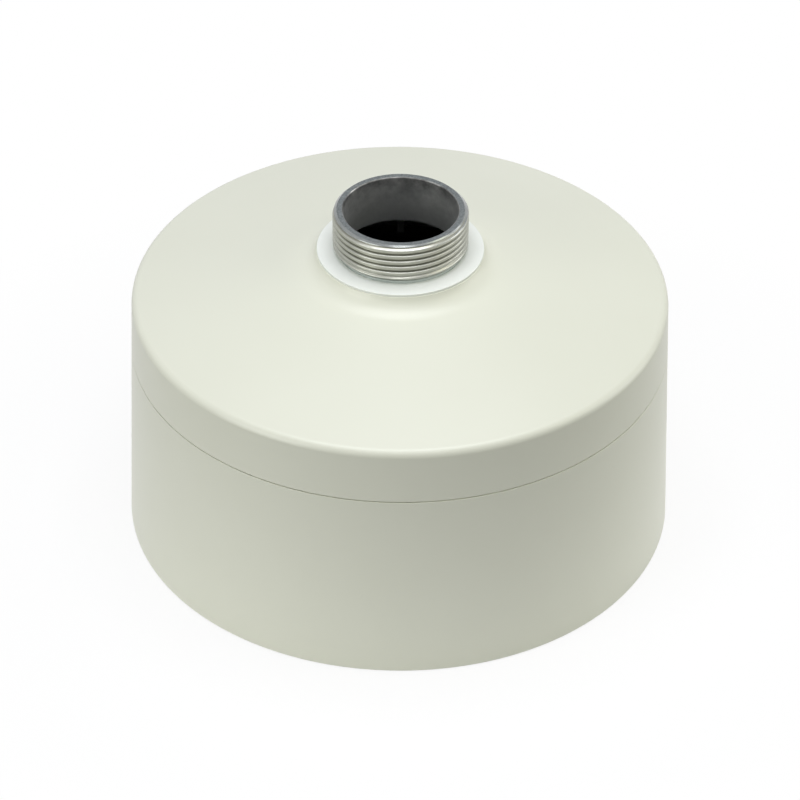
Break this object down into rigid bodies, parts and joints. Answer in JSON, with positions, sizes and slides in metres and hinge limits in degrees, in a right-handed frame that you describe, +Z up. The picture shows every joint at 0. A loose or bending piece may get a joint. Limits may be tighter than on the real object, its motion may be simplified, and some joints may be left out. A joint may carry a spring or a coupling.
{
  "type": "camera pendant mount",
  "caption": "Round drum-shaped pendant housing for a dome camera, open below, with a threaded pipe neck on its conical crown.",
  "frame": {"origin": "centre of the skirt's lower edge, in the plane that the mount stands on", "axes": "+Z up along the neck and the drum's axis; -Y is the side that the picture shows"},
  "size_m": [0.1972, 0.197, 0.1279],
  "materials": {
    "ivory_cap": "satin ivory powder coat",
    "bare_neck": "bare cast metal, machined on the thread and the face",
    "ivory_skirt": "satin ivory powder coat",
    "white_seal": "matte white",
    "black_rubber": "matte black",
    "zinc_plate": "zinc plated",
    "steel_screws": "stainless",
    "steel_washers": "stainless"
  },
  "bodies": {
    "root": {"top_cap": "ivory_cap", "neck_washer": "white_seal", "skirt": "ivory_skirt", "seam_gasket": "black_rubber", "camera_bracket": "zinc_plate", "joint_screw_1": "steel_screws", "joint_washer_1": "steel_washers", "joint_screw_2": "steel_screws", "joint_washer_2": "steel_washers", "joint_screw_3": "steel_screws", "joint_washer_3": "steel_washers", "joint_screw_4": "steel_screws", "joint_washer_4": "steel_washers", "bracket_screw_1": "steel_screws", "bracket_washer_1": "steel_washers", "bracket_screw_2": "steel_screws", "bracket_washer_2": "steel_washers", "bracket_screw_3": "steel_screws", "bracket_washer_3": "steel_washers", "bracket_screw_4": "steel_screws", "bracket_washer_4": "steel_washers"}
  },
  "joints": []
}
